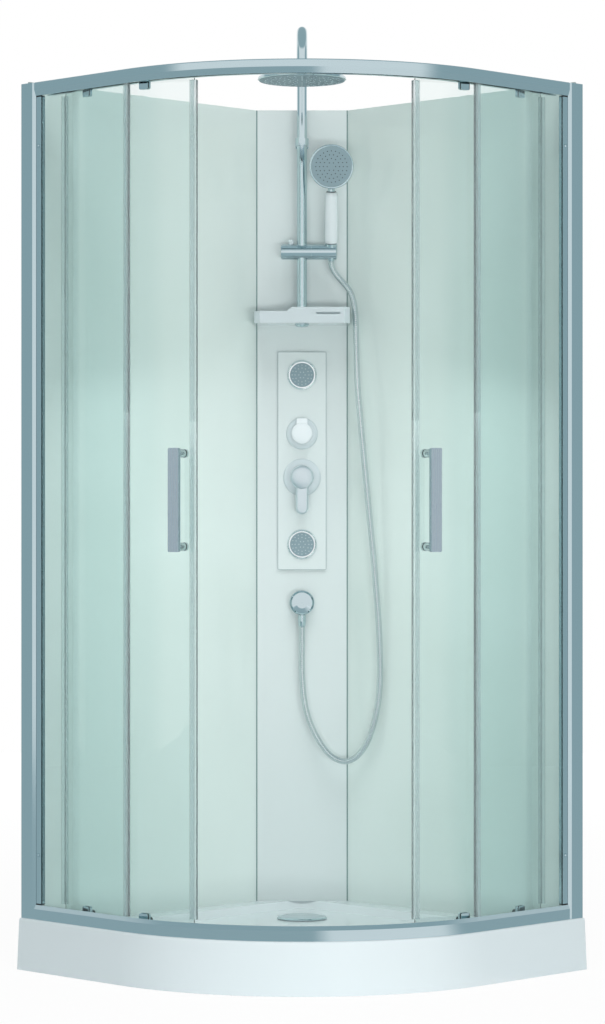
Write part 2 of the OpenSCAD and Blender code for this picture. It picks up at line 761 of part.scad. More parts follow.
module mixer_plate() {
    color("whitesmoke") on_face(mixer_z) translate([0, 0, plate_t]) difference() {
        rotate_extrude() polygon([[0, 0], [45, 0], [45, 2], [42, 5], [36, 7], [28, 8], [0, 8]]);
        translate([0, 0, -1]) cylinder(h = 12, r = stem_r + run_fit);
    }
}

hinge_out = plate_t + 30;
pin_d = 5;

module mixer_stem() {
    color("gainsboro") on_face(mixer_z) {
        translate([0, 0, plate_t - 4]) cylinder(h = 26, r = stem_r);
        translate([0, 0, plate_t]) cylinder(h = 34, r = 12);
        translate([-mixer_d / 2 + 2, 0, hinge_out]) rotate([0, 90, 0]) cylinder(h = mixer_d - 4, d = pin_d);
    }
}

module mixer_lever() {
    r = mixer_d / 2;
    back = plate_t + 24;
    end_r = 15;
    color("white") on_face(mixer_z) difference() {
        union() {
            translate([0, 0, back]) rotate_extrude() polygon(dome_profile(r, 24, 5));
            translate([0, 0, back + 8]) linear_extrude(10) hull() {
                translate([0, -12]) circle(r = end_r + 2, $fn = 32);
                translate([0, end_r - lever_l]) circle(r = end_r, $fn = 32);
            }
        }
        translate([0, 0, back - 1]) cylinder(h = 17, r = r - 5);
        translate([-r - 1, 0, hinge_out]) rotate([0, 90, 0])
            cylinder(h = 2 * r + 2, d = pin_d + 2 * run_fit);
    }
}

// Water ways behind the column

inlet_x = 44;
inlet_d = 20.96;
inlet_l = 26;
inlet_collar = 18;
back_out = -37;

module mixer_body() {
    color("goldenrod") {
        difference() {
            on_face(mixer_z) union() {
                translate([0, 0, -58]) cylinder(h = 58 + plate_t - 5, d = 42);
                translate([-inlet_x - 14, 0, back_out]) rotate([0, 90, 0])
                    cylinder(h = 2 * inlet_x + 28, d = 27);
                for (s = [-1, 1]) translate([s * inlet_x, 0, back_out]) rotate([90, 0, 0]) {
                    cylinder(h = inlet_collar + inlet_l, d = inlet_d);
                    cylinder(h = inlet_collar, d = inlet_d + 4);
                }
            }
            on_face(mixer_z) for (s = [-1, 1]) translate([s * inlet_x, -12, back_out]) rotate([90, 0, 0])
                cylinder(h = inlet_collar + inlet_l, d = inlet_d - 6);
        }
        on_face(diverter_z) translate([0, 0, -58]) cylinder(h = 58 + plate_t - 7, d = 34);
        on_face(mixer_z + 10) translate([0, 0, back_out]) rotate([-90, 0, 0])
            cylinder(h = diverter_z - mixer_z - 20, d = 20);
    }
}

module pipe_run(points, d) {
    for (k = [0:len(points) - 2]) rod(points[k], points[k + 1], d);
    for (k = [1:len(points) - 2]) translate(points[k]) sphere(d = d + 5);
}

module supply_pipes() {
    y = face_y - back_out;
    gap = 18 + seat;
    color("peru") {
        pipe_run([[0, y, diverter_z + gap], [0, y, shelf_z + 16], [0, face_y + 14, shelf_z + 16]], 12);
        pipe_run([[0, y, mixer_z - 21 - seat], [0, y, outlet_z], [0, face_y + 14, outlet_z]], 12);
    }
}

module outlet_elbow() {
    r = outlet_r;
    color("silver") difference() {
        union() {
            on_face(outlet_z) {
                rotate_extrude() polygon([[0, 0], [r, 0], [r, 36], [r - 1, 38.5], [r - 5, 40.5],
                    [r - 16, 41.6], [0, 42]]);
                translate([0, 0, -13.5]) cylinder(h = 14, d = 20);
            }
            translate([0, face_y - outlet_out, outlet_z - outlet_r - 0.5]) cylinder(h = 12, d = 16);
        }
        translate([0, face_y - outlet_out, outlet_z - outlet_r - 1]) cylinder(h = 20, d = 11);
    }
}

// Riser, shelf and overhead shower

module riser_pipe() {
    color("silver") {
        translate([0, riser_y, riser_foot_z]) cylinder(h = arm_z - bend_r - riser_foot_z, d = riser_d);
        translate([0, riser_y - bend_r, arm_z - bend_r]) rotate([90, 0, 90])
            rotate_extrude(angle = 90) translate([bend_r, 0]) circle(d = riser_d);
        translate([0, riser_y - bend_r, arm_z]) rotate([90, 0, 0])
            cylinder(h = arm_reach - 2 * bend_r, d = riser_d);
        translate([0, head_y + bend_r, arm_z - bend_r]) rotate([90, 0, 90])
            rotate([0, 0, 90]) rotate_extrude(angle = 90) translate([bend_r, 0]) circle(d = riser_d);
        translate([0, head_y, overhead_z + 43]) cylinder(h = arm_z - bend_r - overhead_z - 43, d = riser_d);
    }
}

module riser_bracket() {
    color("gainsboro") difference() {
        union() {
            translate([0, riser_y, bracket_z - 9]) cylinder(h = 18, d = riser_d + 8);
            on_face(bracket_z) {
                cylinder(h = riser_out - riser_d / 2 - 2, d = 18);
                cylinder(h = 4, d = 34);
            }
        }
        translate([0, riser_y, bracket_z - 20]) cylinder(h = 40, d = riser_d + 2 * seat);
    }
}

module riser_base() {
    z = shelf_z + 16;
    color("silver") {
        difference() {
            union() {
                translate([0, riser_y, shelf_z - 7]) rotate_extrude() polygon([[0, 0], [9, 0],
                    [14, 1.6], [17, 5], [17, 7 - seat], [0, 7 - seat]]);
            }
            translate([0, riser_y, riser_foot_z - seat]) cylinder(h = 20, d = riser_d + 2 * seat);
        }
        on_face(z) translate([0, 0, -13.5]) cylinder(h = riser_out - riser_d / 2 + 13.5 - seat, d = 20);
    }
}

// Plan of the shelf between two depths, with its front corners cut off
function shelf_plan(half, from, to, cut) = [[-half, -from], [half, -from], [half, cut - to],
    [half - cut, -to], [cut - half, -to], [-half, cut - to]];

module shelf() {
    half = shelf_w / 2;
    wall = 3;
    left_h = 28;
    right_h = left_h + shelf_rise;
    step = [-36, -23.5];
    back = face_half - 0.6;
    color("whitesmoke") difference() {
        intersection() {
            on_face(shelf_z) linear_extrude(shelf_d) polygon([[-half, 0], [half, 0], [half, right_h],
                [step[1], right_h], [step[0], left_h], [-half, left_h]]);
            translate([0, face_y, shelf_z - 1]) linear_extrude(60)
                polygon(concat([[-half, back - half], [-back, 0], [back, 0], [half, back - half]],
                    [for (k = [2:5]) shelf_plan(half, 0, shelf_d, shelf_corner)[k]]));
        }
        translate([0, face_y, shelf_z + wall + 3]) linear_extrude(60)
            polygon(shelf_plan(half - wall, wall, shelf_d - wall, shelf_corner - wall * (2 - root2)));
        on_face(shelf_z + 23) translate([33, -2.5, shelf_d - 5]) cube([57, 5, 10]);
        translate([0, riser_y, shelf_z - 1]) cylinder(h = 60, d = riser_d + 2 * seat);
        on_face(shelf_z + 16) translate([0, 0, -1]) cylinder(h = 10, d = 20 + 2 * seat);
        for (s = [-1, 1], k = [0:4]) on_face(shelf_z - 1) translate([s * 60 - 22, 0, 22 + 14 * k])
            cube([44, 12, 5]);
    }
}

ball_z = overhead_z + 27;

module overhead_ball() {
    color("silver") translate([0, head_y, 0]) {
        translate([0, 0, ball_z]) sphere(d = 22);
        translate([0, 0, ball_z]) cylinder(h = 12, d = 14);
        translate([0, 0, ball_z + 11]) cylinder(h = 5 - seat, d = 30);
    }
}

module overhead_shower() {
    r = overhead_d / 2;
    z = overhead_z;
    color("silver") translate([0, head_y, z]) difference() {
        rotate_extrude() polygon([[0, 2], [r - 3, 2], [r, 3.5], [r, 8], [r - 2, 10.5], [r * 0.6, 13],
            [24, 17], [17, 20], [17, 33], [0, 33]]);
        translate([0, 0, 27]) sphere(d = 22 + 2 * seat);
        translate([0, 0, 27]) cylinder(h = 20, d1 = 17, d2 = 24);
    }
}

module overhead_nozzles() {
    r = overhead_d / 2;
    rings = [[14, 8], [28, 16], [42, 16], [56, 16], [70, 32], [84, 32]];
    color("dimgray") translate([0, head_y, overhead_z]) {
        translate([0, 0, 1]) cylinder(h = 1 - 0.05, r = r - 3.3);
        for (ring = rings, k = [0:ring[1] - 1]) rotate([0, 0, 360 * k / ring[1]])
            translate([ring[0], 0, 0]) cylinder(h = 1.5, d = 3);
    }
}

// Slider, hand shower and hose

module slider_body() {
    color("silver") difference() {
        union() {
            translate([barrel_left + 3, riser_y, slider_z]) rotate([0, 90, 0])
                cylinder(h = barrel_split - barrel_left - 3, d = slider_d);
            translate([barrel_left, riser_y, slider_z]) rotate([0, 90, 0])
                cylinder(h = 4, d = slider_d - 3);
            translate([barrel_split - 1, riser_y, slider_z]) rotate([0, 90, 0])
                cylinder(h = 9, d = 12);
        }
        translate([0, riser_y, slider_z - 30]) cylinder(h = 60, d = riser_d + 2 * 0.08);
        translate([button_x, riser_y, slider_z + 9]) cylinder(h = 20, d = 12 + 2 * run_fit);
    }
}

module slider_button() {
    top = slider_d / 2 + 3;
    color("white") translate([button_x, riser_y, slider_z]) {
        translate([0, 0, 12]) cylinder(h = top - 11, d = 12);
        translate([0, 0, top]) rotate_extrude() polygon([[0, 0], [7, 0], [7, 5], [5.5, 7.5], [0, 8.5]]);
    }
}

// The tilted axis of the hand shower through the right end of the barrel
module handset_axis() {
    translate([holder_x, riser_y, slider_z]) rotate([handset_lean, 0, 0]) children();
}

module cone_bore(extra) {
    translate([0, 0, -40]) cylinder(h = 80, d1 = cone_d - 2.4 + extra, d2 = cone_d + 2.4 + extra);
}

module handset_holder() {
    color("silver") difference() {
        union() {
            translate([barrel_split + seat, riser_y, slider_z]) rotate([0, 90, 0])
                cylinder(h = barrel_right - barrel_split - seat, d = slider_d);
            handset_axis() translate([0, 0, -16]) cylinder(h = 16 + socket_top, d1 = 27, d2 = 29);
        }
        translate([barrel_split - 1, riser_y, slider_z]) rotate([0, 90, 0])
            cylinder(h = 10 - seat, d = 12 + 2 * run_fit);
        handset_axis() cone_bore(2 * seat);
    }
}

head_up = 205;
head_out = 12;
face_dip = 10;
nut_l = 17;
nut_top = -4;

module handset_head() {
    handset_axis() translate([0, -head_out, head_up])
        rotate([90 + face_dip - handset_lean, 0, 0]) children();
}

module handset() {
    r = handset_d / 2;
    color("gainsboro") {
        handset_axis() {
            intersection() {
                cone_bore(0);
                translate([0, 0, nut_top]) cylinder(h = socket_top + 4 - nut_top, d = 40);
            }
            translate([0, 0, socket_top + seat]) rotate_extrude() polygon([[0, 0], [12, 0], [15, 2.5],
                [16.4, 14], [16, 60], [15, 112], [14.4, 120], [13, 123], [8.5, 124], [8, 132],
                [9.5, 150], [0, 150]]);
        }
        difference() {
            handset_head() translate([0, 0, -14]) rotate_extrude() polygon([[0, 0], [18, 1], [34, 5],
                [r - 4, 11], [r, 15], [r, 21], [r - 1.5, 22.5], [r - 4, 22.5], [r - 4, 19], [0, 19]]);
            handset_head() translate([0, 0, -13.9 + 19]) cylinder(h = 10, r = r - 4);
        }
    }
}

module handset_face() {
    r = handset_d / 2 - 4 - 0.1;
    color("slategray") handset_head() translate([0, 0, 5.1 + 0.1]) {
        cylinder(h = 2.6, r = r);
        for (ring = [[10, 6], [19, 12], [28, 18], [37, 24]], k = [0:ring[1] - 1])
            rotate([0, 0, 360 * k / ring[1]]) translate([ring[0], 0, 2]) cylinder(h = 1.4, d = 2.4);
    }
}

module hose_upper_nut() {
    color("silver") handset_axis() translate([0, 0, nut_top - nut_l]) difference() {
        rotate_extrude() polygon([[0, 0], [7.8, 0], [8.4, 2], [9.2, 12], [9.2, nut_l - seat],
            [0, nut_l - seat]]);
        translate([0, 0, -1]) cylinder(h = 6, d = 9);
    }
}

module hose_lower_nut() {
    h = outlet_z - outlet_r - 0.5 - hose_end_z - 2 * seat;
    color("silver") translate([0, face_y - outlet_out, hose_end_z + seat]) difference() {
        rotate_extrude() polygon([[0, 0], [7.6, 0], [8.4, 2], [9.4, 12], [9.4, h], [0, h]]);
        translate([0, 0, -1]) cylinder(h = 6, d = 9);
    }
}

// Smooth curve through the route: a cubic between each pair of points
function route_point(p, k) = p[max(0, min(len(p) - 1, k))];
function on_route(p, u) = let (k = floor(u), f = u - k, a = route_point(p, k - 1), b = route_point(p, k),
    c = route_point(p, k + 1), d = route_point(p, k + 2))
    0.5 * (2 * b + (c - a) * f + (2 * a - 5 * b + 4 * c - d) * f * f + (3 * b - a - 3 * c + d) * f * f * f);

module tube(points, d, rings, sides) {
    last = len(points) - 1;
    at = [for (k = [0:rings - 1]) on_route(points, last * k / (rings - 1))];
    dir = [for (k = [0:rings - 1]) let (v = at[min(k + 1, rings - 1)] - at[max(k - 1, 0)]) v / norm(v)];
    skin = [for (k = [0:rings - 1], j = [0:sides - 1])
        let (e = cross(dir[k], [0, 1, 0]), e1 = e / norm(e), e2 = cross(dir[k], e1), a = 360 * j / sides)
        at[k] + d / 2 * (cos(a) * e1 + sin(a) * e2)];
    walls = [for (k = [0:rings - 2], j = [0:sides - 1])
        let (a = k * sides + j, b = k * sides + (j + 1) % sides)
        each [[a, b, b + sides], [a, b + sides, a + sides]]];
    e = (rings - 1) * sides;
    caps = [for (j = [1:sides - 2]) each [[0, j + 1, j], [e, e + j, e + j + 1]]];
    polyhedron(skin, concat(walls, caps));
}

module shower_hose() {
    route = [for (p = hose_route) [p[0], corner_y - p[1], p[2]]];
    color("silver") tube(route, hose_d, 78, 10);
}

shower_tray();
tray_frame();
adjustable_feet();
drain_trap();
drain_cover();
left_wall_panel();
right_wall_panel();
column_panel();
column_trims();
left_upright();
right_upright();
glass_profiles();
rail_end_blocks();
profile_screws();
top_rail();
bottom_rail();
left_fixed_glass();
right_fixed_glass();
fixed_glass_strips();
left_door_glass();
right_door_glass();
left_door_strips();
right_door_strips();
left_handle();
right_handle();
left_roller_blocks();
right_roller_blocks();
left_guide_shoes();
right_guide_shoes();
left_front_wheel();
left_rear_wheel();
right_front_wheel();
right_rear_wheel();
control_plate();
jet_rings();
upper_jet();
lower_jet();
diverter_base();
diverter_knob();
mixer_plate();
mixer_stem();
mixer_lever();
mixer_body();
supply_pipes();
outlet_elbow();
riser_pipe();
riser_bracket();
riser_base();
shelf();
slider_body();
slider_button();
handset_holder();
handset();
handset_face();
shower_hose();
hose_lower_nut();
hose_upper_nut();
overhead_ball();
overhead_shower();
overhead_nozzles();
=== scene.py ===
import math
import bpy
import numpy as np
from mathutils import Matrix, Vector


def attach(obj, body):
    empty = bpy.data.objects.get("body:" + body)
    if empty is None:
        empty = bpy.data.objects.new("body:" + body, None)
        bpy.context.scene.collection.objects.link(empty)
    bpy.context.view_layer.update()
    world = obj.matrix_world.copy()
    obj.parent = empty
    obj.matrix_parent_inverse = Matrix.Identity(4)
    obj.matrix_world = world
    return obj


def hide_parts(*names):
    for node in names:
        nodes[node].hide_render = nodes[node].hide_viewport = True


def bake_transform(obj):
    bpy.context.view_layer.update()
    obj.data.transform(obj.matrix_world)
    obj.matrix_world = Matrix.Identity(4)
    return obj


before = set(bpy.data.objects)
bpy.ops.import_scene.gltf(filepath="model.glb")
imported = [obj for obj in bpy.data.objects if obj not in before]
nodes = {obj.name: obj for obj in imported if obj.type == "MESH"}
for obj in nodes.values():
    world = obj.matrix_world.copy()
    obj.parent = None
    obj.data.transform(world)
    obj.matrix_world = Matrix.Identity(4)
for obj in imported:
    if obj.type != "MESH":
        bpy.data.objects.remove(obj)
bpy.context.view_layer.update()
scene = bpy.context.scene

# Camera
# A long lens stands seven metres in front of the doors, level with the middle of the handles,
# so the uprights stay parallel and only the curved rails show that the front is round.
image_height = 1024
focal_pixels = 3186
shift_pixels = (0.5, 3.9)
camera_data = bpy.data.cameras.new("camera")
camera = bpy.data.objects.new("camera", camera_data)
scene.collection.objects.link(camera)
camera.location = (0, -7.2285, 1.014)
camera.rotation_euler = (math.pi / 2, 0, 0)
camera_data.lens = focal_pixels / image_height * camera_data.sensor_width
camera_data.shift_x = shift_pixels[0] / image_height
camera_data.shift_y = shift_pixels[1] / image_height
camera_data.clip_end = 60
scene.camera = camera
scene.view_settings.view_transform = "Standard"


# Shower hose
# A smooth hose of silver PVC over a spiral-wound core, 14 mm thick. It hangs from the hand
# shower in one long loop and ends in the outlet on the column.
def linear(code):
    """sRGB hex colour to linear and opaque: each channel c becomes
    ((c + 0.055) / 1.055) ** 2.4, or c / 12.92 when dark."""
    channels = [int(code[i:i + 2], 16) / 255 for i in (1, 3, 5)]
    return [c / 12.92 if c <= 0.04045 else ((c + 0.055) / 1.055) ** 2.4 for c in channels] + [1]


def material(name, **sockets):
    """A new material whose surface shader gets the given values; an underscore stands for a
    space in a socket's name."""
    made = bpy.data.materials.new(name)
    made.use_nodes = True
    shader = made.node_tree.nodes["Principled BSDF"]
    for key, value in sockets.items():
        shader.inputs[key.replace("_", " ")].default_value = value
    return made


def add(made, kind, links=(), feeds=(), numbers=(), **settings):
    """Adds a node. settings name its properties or input sockets, and numbers gives (index,
    value) of unnamed ones; links are (output, own input) pairs, and feeds are (own output,
    input of the surface shader) pairs."""
    tree = made.node_tree
    node = tree.nodes.new("ShaderNode" + kind)
    for key, value in settings.items():
        if hasattr(node, key):
            setattr(node, key, value)
        else:
            node.inputs[key.replace("_", " ")].default_value = value
    for index, value in numbers:
        node.inputs[index].default_value = value
    for source, target in links:
        tree.links.new(source, node.inputs[target])
    for own, target in feeds:
        tree.links.new(node.outputs[own], tree.nodes["Principled BSDF"].inputs[target])
    return node


def new_piece(name, points, faces, made, sharp=None):
    """A smooth-shaded object at the origin from points and faces; edges above the sharp angle
    in degrees stay crisp."""
    mesh = bpy.data.meshes.new(name)
    mesh.from_pydata(np.asarray(points).tolist(), [], [list(f) for f in faces])
    mesh.materials.append(made)
    mesh.polygons.foreach_set("use_smooth", np.ones(len(mesh.polygons), bool))
    if sharp:
        mesh.set_sharp_from_angle(angle=math.radians(sharp))
    mesh.update()
    shown = bpy.data.objects.new(name, mesh)
    scene.collection.objects.link(shown)
    return shown


def wall_faces(rows, sides):
    """Quads between neighbouring closed rings of a grid of rows rings with sides points each,
    and a cap on both ends."""
    r, c = np.meshgrid(np.arange(rows - 1), np.arange(sides), indexing="ij")
    a, b = r * sides + c, r * sides + (c + 1) % sides
    quads = np.stack([a, b, b + sides, a + sides], -1).reshape(-1, 4)
    last = (rows - 1) * sides
    return quads.tolist() + [list(range(sides))[::-1], list(range(last, last + sides))]


def smooth_path(points, steps):
    """Catmull-Rom curve: between each two points a cubic whose slope at a point is half the
    step between its neighbours."""
    p = np.asarray(points, float)
    p = np.vstack([p[0], p, p[-1]])
    u = np.linspace(0, len(p) - 3, steps)
    k = np.minimum(u.astype(int), len(p) - 4)
    f = (u - k)[:, None]
    a, b, c, d = p[k], p[k + 1], p[k + 2], p[k + 3]
    return 0.5 * (2 * b + (c - a) * f + (2 * a - 5 * b + 4 * c - d) * f ** 2
                  + (3 * b - a - 3 * c + d) * f ** 3)


def swept(path, radius, sides):
    """A round tube: at each path point a ring of the radius, square to the path's slope, from
    two directions at right angles to the slope."""
    along = np.gradient(path, axis=0)
    along /= np.linalg.norm(along, axis=1)[:, None]
    across = np.cross(along, [0.0, 1.0, 0.0])
    across /= np.linalg.norm(across, axis=1)[:, None]
    upward = np.cross(along, across)
    turn = np.linspace(0, 2 * np.pi, sides, endpoint=False)
    ring = (np.cos(turn)[None, :, None] * across[:, None]
            + np.sin(turn)[None, :, None] * upward[:, None])
    return (path[:, None] + radius * ring).reshape(-1, 3), wall_faces(len(path), sides)


# The route's points are metres to the right, out from the room's corner and up, from the nut of
# the hand shower down and round to the outlet
corner_y = 0.522487
hose_route = [
    (0.0695, 0.163, 1.621), (0.070, 0.161, 1.612), (0.074, 0.160, 1.601), (0.082, 0.161, 1.588),
    (0.093, 0.163, 1.575), (0.105, 0.167, 1.561), (0.115, 0.171, 1.546), (0.121, 0.175, 1.529),
    (0.125, 0.179, 1.510), (0.127, 0.183, 1.488), (0.128, 0.187, 1.462), (0.129, 0.191, 1.425),
    (0.130, 0.196, 1.380), (0.132, 0.200, 1.320), (0.139, 0.204, 1.235), (0.148, 0.207, 1.140),
    (0.155, 0.209, 1.066), (0.162, 0.210, 0.992), (0.169, 0.212, 0.920), (0.175, 0.213, 0.847),
    (0.181, 0.214, 0.769), (0.184, 0.214, 0.700), (0.185, 0.212, 0.628), (0.178, 0.208, 0.557),
    (0.159, 0.201, 0.487), (0.134, 0.193, 0.447), (0.109, 0.186, 0.432), (0.086, 0.180, 0.434),
    (0.062, 0.173, 0.450), (0.038, 0.165, 0.483), (0.017, 0.158, 0.528), (0.005, 0.154, 0.578),
    (0.000, 0.152, 0.641), (0.000, 0.152, 0.700), (0.000, 0.152, 0.750)]
hose_rings, hose_sides = 560, 20
hose_radius = 0.0069
groove_pitch = 0.005
hose_points = smooth_path([(x, corner_y - out, z) for x, out, z in hose_route][::-1], hose_rings)
hose_steps = np.linalg.norm(np.diff(hose_points, axis=0), axis=1)

silver_pvc = material("silver_pvc_hose", Base_Color=linear("#CFD8DA"), Metallic=0.9, Roughness=0.14)
hose = new_piece("shower_hose_flexible", *swept(hose_points, hose_radius, hose_sides), silver_pvc)
hose_map = hose.data.uv_layers.new(name="along")
hose_loops = np.zeros(len(hose.data.loops), np.int32)
hose.data.loops.foreach_get("vertex_index", hose_loops)
hose_run = np.concatenate([[0], np.cumsum(hose_steps)])[hose_loops // hose_sides]
hose_turn = (hose_loops % hose_sides) / hose_sides
hose_map.data.foreach_set("uv", np.stack([hose_turn, hose_run], -1).astype(np.float32).ravel())
# The core's spiral shows through the skin as a faint groove, one for each groove_pitch
place = add(silver_pvc, "UVMap", uv_map="along")
split = add(silver_pvc, "SeparateXYZ", [(place.outputs["UV"], "Vector")])
turns = add(silver_pvc, "Math", [(split.outputs["Y"], 0)], operation="MULTIPLY",
            numbers=[(1, 2 * math.pi / groove_pitch)])
groove = add(silver_pvc, "Math", [(turns.outputs[0], 0)], operation="SINE")
add(silver_pvc, "Bump", [(groove.outputs[0], "Height")], [("Normal", "Normal")], Strength=0.3,
    Distance=0.0004)
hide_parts("shower_hose")
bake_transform(hose)

# Studio
# A white room without edges: the floor keeps the soft shadow of the tray, and eye, metal and
# glass see the same white. Grey cloths hang left, right and overhead and lie on the floor, only
# for the mirrored view, so that polished metal gets its darker sides.
world = bpy.data.worlds.new("white_studio")
scene.world = world
world.use_nodes = True
world.node_tree.nodes.clear()
floor_paint = bpy.data.materials.new("white_studio_floor")
floor_paint.use_nodes = True
floor_paint.node_tree.nodes.clear()
# The floor shows this share of plain white, and the rest is paint that takes the shadow
floor_white = 0.94
room_white = linear("#FFFFFF")
cloth_grey = linear("#ABBFC4")
# The cloth overhead begins and is full where the direction's z / length has these values
canopy_edge, canopy_full = 0.42, 0.55


def seen_directly(made):
    """1 for rays of the eye, of a reflection or of a view through glass, and 0 for rays that
    gather light."""
    ray = add(made, "LightPath")
    mirrored = add(made, "Math", operation="MAXIMUM",
                   links=[(ray.outputs["Is Camera Ray"], 0), (ray.outputs["Is Glossy Ray"], 1)])
    through = add(made, "Math", operation="MAXIMUM",
                  links=[(mirrored.outputs[0], 0), (ray.outputs["Is Transmission Ray"], 1)])
    return through.outputs[0]


def surroundings(made, stops):
    """White with grey cloths: the colour follows x / length of the direction from the cabin,
    -1 at the left and 1 at the right, by stops of (x, 0 for cloth or 1 for white), and a cloth
    overhead covers it. Rays that no surface has mirrored see plain white."""
    place = add(made, "TexCoord")
    source = "Generated" if made == world else "Object"
    way = add(made, "VectorMath", [(place.outputs[source], 0)], operation="NORMALIZE")
    side = add(made, "SeparateXYZ", [(way.outputs[0], "Vector")])
    span = add(made, "MapRange", [(side.outputs["X"], "Value")], From_Min=-1.0, From_Max=1.0)
    band = add(made, "ValToRGB", [(span.outputs[0], "Fac")])
    ramp = band.color_ramp
    for _ in stops[2:]:
        ramp.elements.new(0.5)
    for stop, (spot, _) in zip(ramp.elements, stops):
        stop.position = (spot + 1) / 2
    # The new stops all start in the middle, so colours are given once each has its place
    for stop, (_, white) in zip(ramp.elements, stops):
        stop.color = room_white if white else cloth_grey
    overhead = add(made, "MapRange", [(side.outputs["Z"], "Value")],
                   From_Min=canopy_edge, From_Max=canopy_full)
    canopy = add(made, "Mix", [(overhead.outputs[0], 0), (band.outputs[0], 6)],
                 numbers=[(7, cloth_grey)], data_type="RGBA")
    ray = add(made, "LightPath")
    once = add(made, "Math", [(ray.outputs["Glossy Depth"], 0)], numbers=[(1, 0.5)],
               operation="GREATER_THAN")
    seen = add(made, "Mix", [(once.outputs[0], 0), (canopy.outputs[2], 7)],
               numbers=[(6, room_white)], data_type="RGBA")
    return seen.outputs[2]


wall_stops = [(-0.98, 0), (-0.92, 0), (-0.85, 1), (0.85, 1), (0.92, 0), (0.98, 0)]
plain = add(world, "Background", [(surroundings(world, wall_stops), "Color")], Strength=1.0)
soft = add(world, "Background", Color=linear("#F3F7F8"), Strength=0.27)
either = add(world, "MixShader",
             [(seen_directly(world), 0), (soft.outputs[0], 1), (plain.outputs[0], 2)])
add(world, "OutputWorld", [(either.outputs[0], "Surface")])

floor_stops = [(-0.9, 0), (0.08, 0), (0.2, 1), (0.86, 1), (0.93, 0)]
share = add(floor_paint, "Math", [(seen_directly(floor_paint), 0)], numbers=[(1, floor_white)],
            operation="MULTIPLY")
paint = add(floor_paint, "BsdfDiffuse", Color=linear("#F6F8F8"))
glow = add(floor_paint, "Emission", [(surroundings(floor_paint, floor_stops), "Color")],
           Strength=1.0)
cover = add(floor_paint, "MixShader",
            [(share.outputs[0], 0), (paint.outputs[0], 1), (glow.outputs[0], 2)])
add(floor_paint, "OutputMaterial", [(cover.outputs[0], "Surface")])
floor_half = 6.4
floor = new_piece("studio_floor", [(-floor_half, -floor_half, 0), (floor_half, -floor_half, 0),
                                   (floor_half, floor_half, 0), (-floor_half, floor_half, 0)],
                  [(0, 1, 2, 3)], floor_paint)

# Each softbox: place, point it faces, width, height and power; they only give light. The small
# inner one hangs behind the doors and lifts the basin and the lower walls.
for name, place, aim, width, height, power in (
        ("front_softbox", (0.8, -6.2, 0.45), (0, 0, 0.3), 4.0, 0.8, 165),
        ("high_softbox", (0.8, -5.0, 11.0), (0, 0, 0.5), 7.0, 7.0, 670),
        ("inner_softbox", (0.0, -0.3, 1.25), (0, 0.05, 0.1), 0.8, 0.6, 1.6),
        ("rear_softbox", (0.0, 6.5, 1.6), (0, 0, 1.0), 5.0, 2.6, 230)):
    lamp = bpy.data.lights.new(name, "AREA")
    lamp.shape = "RECTANGLE"
    lamp.size, lamp.size_y, lamp.energy = width, height, power
    softbox = bpy.data.objects.new(name, lamp)
    scene.collection.objects.link(softbox)
    softbox.location = place
    softbox.rotation_euler = (Vector(place) - Vector(aim)).to_track_quat("Z", "Y").to_euler()
    softbox.visible_camera = softbox.visible_glossy = softbox.visible_transmission = False


# Shower tray
# One shell of white acrylic sheet, vacuum formed over a mould and backed with fibreglass, so
# it is glossy all over, with soft edges and the slightest waviness.
def finish(made, *names):
    """Gives CAD nodes one material, in place of the frame's own."""
    for name in names:
        mesh = nodes[name].data
        mesh.materials.clear()
        mesh.materials.append(made)


acrylic = material("vacuum_formed_acrylic", Base_Color=linear("#DAE4E7"), Roughness=0.2, IOR=1.49,
                   Coat_Weight=0.3, Coat_Roughness=0.05)
where = add(acrylic, "TexCoord")
# Waves of about 200 mm, as a sheet stretched over a mould has
waves = add(acrylic, "TexNoise", [(where.outputs["Object"], "Vector")], Scale=5.0, Detail=2.0)
add(acrylic, "Bump", [(waves.outputs["Fac"], "Height")], [("Normal", "Normal")], Strength=0.12,
    Distance=0.002)
finish(acrylic, "shower_tray")

# Support frame, feet and waste
# Welded square steel tube, zinc plated against damp, on six threaded feet, and a moulded
# waste trap under the basin. They hide behind the skirt.
zinc = material("zinc_plated_steel", Base_Color=linear("#9AA3A8"), Metallic=1.0, Roughness=0.42)
where = add(zinc, "TexCoord")
# Crystals of 8 mm in the plating, each with its own dullness
crystals = add(zinc, "TexVoronoi", [(where.outputs["Object"], "Vector")], Scale=125.0)
add(zinc, "MapRange", [(crystals.outputs["Color"], "Value")], [("Result", "Roughness")],
    To_Min=0.34, To_Max=0.52)
finish(zinc, "tray_frame", "adjustable_feet")
polypropylene = material("moulded_polypropylene", Base_Color=linear("#D4D8DA"), Roughness=0.45)
where = add(polypropylene, "TexCoord")
# The fine spark-eroded grain of the mould, drawn 0.8 mm coarse
grain = add(polypropylene, "TexNoise", [(where.outputs["Object"], "Vector")], Scale=1250.0)
add(polypropylene, "Bump", [(grain.outputs["Fac"], "Height")], [("Normal", "Normal")], Strength=0.2,
    Distance=0.0002)
finish(polypropylene, "drain_trap")

# Chromed fittings
# Brass and steel parts, polished and chrome plated, so they mirror the room in a cool grey:
# riser, slider, holder, nuts, outlet, roller blocks, drain cover and overhead shower.
chrome = material("chrome_plate", Base_Color=linear("#C4D4D9"), Metallic=1.0, Roughness=0.06)
where = add(chrome, "TexCoord")
